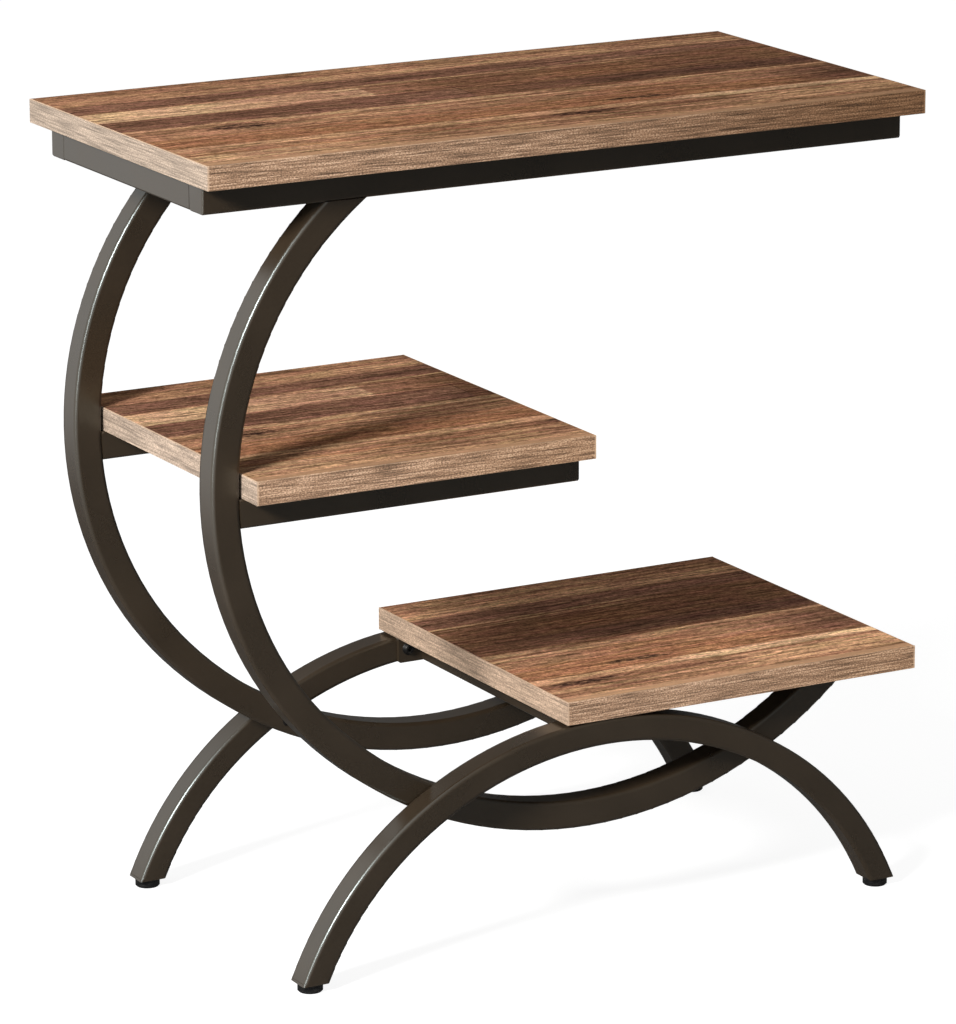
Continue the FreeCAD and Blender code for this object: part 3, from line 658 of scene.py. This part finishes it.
def floor():
    # A white floor that keeps the object's shadow, and that can be seen through from below
    mesh = bpy.data.meshes.new("floor")
    corners = [(x * FLOOR_HALF, y * FLOOR_HALF, 0)
               for x, y in ((-1, -1), (1, -1), (1, 1), (-1, 1))]
    mesh.from_pydata(corners, [], [(0, 1, 2, 3)])
    thing = bpy.data.objects.new("floor", mesh)
    thing.location.z = -FLOOR_DROP
    bpy.context.scene.collection.objects.link(thing)
    material = bpy.data.materials.new("white_floor")
    material.use_nodes = True
    tree = material.node_tree
    tree.nodes.clear()
    graph = Graph(tree)
    rays = graph.add("ShaderNodeLightPath").outputs
    place = graph.add("ShaderNodeTexCoord").outputs["Object"]
    sheet = graph.spread(graph.vector("LENGTH", place), *SHEET_EDGE, *SHEET_SHADES)
    shade = graph.mix(rays["Is Glossy Ray"], graph.join(sheet, sheet, sheet), FLOOR_IN_REFLECTIONS)
    matte = graph.add("ShaderNodeBsdfDiffuse")
    graph.feed(matte.inputs["Color"], graph.mix(rays["Is Camera Ray"], shade, FLOOR_IN_VIEW))
    lit = graph.spread(graph.split(place)[0], *FLOOR_BRIGHT_EDGE, *FLOOR_BRIGHTNESS)
    seen = graph.math("MAXIMUM", rays["Is Camera Ray"], rays["Is Transmission Ray"])
    seen = graph.math("MAXIMUM", seen, graph.math("MULTIPLY", rays["Is Glossy Ray"], lit))
    glow = graph.add("ShaderNodeEmission")
    graph.feed(glow.inputs["Strength"], graph.math("MULTIPLY", seen, FLOOR_GLOW))
    both = graph.add("ShaderNodeAddShader")
    tree.links.new(matte.outputs[0], both.inputs[0])
    tree.links.new(glow.outputs[0], both.inputs[1])
    open_below = graph.add("ShaderNodeMixShader")
    graph.feed(open_below.inputs[0], graph.geometry("Backfacing"))
    tree.links.new(both.outputs[0], open_below.inputs[1])
    tree.links.new(graph.add("ShaderNodeBsdfTransparent").outputs[0], open_below.inputs[2])
    output = graph.add("ShaderNodeOutputMaterial")
    tree.links.new(open_below.outputs[0], output.inputs["Surface"])
    mesh.materials.append(material)


def world():
    # Even light all round, behind a white background that reflections see only to the left
    thing = bpy.data.worlds.new("studio")
    bpy.context.scene.world = thing
    thing.use_nodes = True
    tree = thing.node_tree
    tree.nodes.clear()
    graph = Graph(tree)
    rays = graph.add("ShaderNodeLightPath").outputs
    seen = graph.math("MAXIMUM", rays["Is Camera Ray"], rays["Is Glossy Ray"])
    seen = graph.math("MAXIMUM", seen, rays["Is Transmission Ray"])
    ambient = graph.add("ShaderNodeBackground")
    ambient.inputs["Color"].default_value = grey(1.0)
    ambient.inputs["Strength"].default_value = AMBIENT
    white = graph.add("ShaderNodeBackground")
    white.inputs["Color"].default_value = grey(1.0)
    across = graph.split(graph.add("ShaderNodeTexCoord").outputs["Generated"])[0]
    lit = graph.spread(across, *SKY_BRIGHT_EDGE, *SKY_BRIGHTNESS)
    graph.feed(white.inputs["Strength"], graph.mix_value(rays["Is Glossy Ray"], 1.0, lit))
    both = graph.add("ShaderNodeMixShader")
    output = graph.add("ShaderNodeOutputWorld")
    graph.feed(both.inputs[0], seen)
    tree.links.new(ambient.outputs[0], both.inputs[1])
    tree.links.new(white.outputs[0], both.inputs[2])
    tree.links.new(both.outputs[0], output.inputs["Surface"])


def lamp(name, place, target, size, power, tall=None):
    # A round lamp, or with tall an upright strip that only shows in glossy reflections
    data = bpy.data.lights.new(name, "AREA")
    data.shape = "RECTANGLE" if tall else "DISK"
    data.size = size
    if tall:
        data.size_y = tall
    data.energy = power
    thing = bpy.data.objects.new(name, data)
    thing.visible_diffuse = not tall
    thing.location = place
    aim = Vector(target) - Vector(place)
    thing.rotation_euler = aim.to_track_quat("-Z", "Y").to_euler()
    bpy.context.scene.collection.objects.link(thing)


# The camera's place in metres and direction in degrees, and in pixels of a picture PICTURE_SIDE
# long its focal length and how far the picture's middle lies off its axis
CAMERA_PLACE = (-1.9397, -3.5145, 1.3642)
CAMERA_AZIMUTH = -29.685
CAMERA_DIP = 13.453
FOCAL_LENGTH = 5449.6
PICTURE_SHIFT = (-75.5, -129.9)
PICTURE_SIDE = 1024
SENSOR_WIDTH = 36.0
CLIP_END = 100.0


def camera():
    data = bpy.data.cameras.new("camera")
    data.sensor_fit = "AUTO"
    data.sensor_width = SENSOR_WIDTH
    data.lens = SENSOR_WIDTH * FOCAL_LENGTH / PICTURE_SIDE
    data.shift_x = PICTURE_SHIFT[0] / PICTURE_SIDE
    data.shift_y = PICTURE_SHIFT[1] / PICTURE_SIDE
    data.clip_end = CLIP_END
    thing = bpy.data.objects.new("camera", data)
    thing.location = CAMERA_PLACE
    upright = math.pi / 2 - math.radians(CAMERA_DIP)
    thing.rotation_euler = (upright, 0.0, math.radians(CAMERA_AZIMUTH))
    bpy.context.scene.collection.objects.link(thing)
    bpy.context.scene.camera = thing


camera()
dress()
floor()
world()
lamp("key", place=(-2.95, -1.40, 2.11), target=(0.0, 0.0, 0.35), size=0.72, power=198.0)
lamp("strip", place=(-2.95, -1.40, 0.85), target=(0.0, 0.0, 0.85), size=0.3, power=30.0, tall=1.6)
bpy.context.scene.view_settings.view_transform = "Standard"
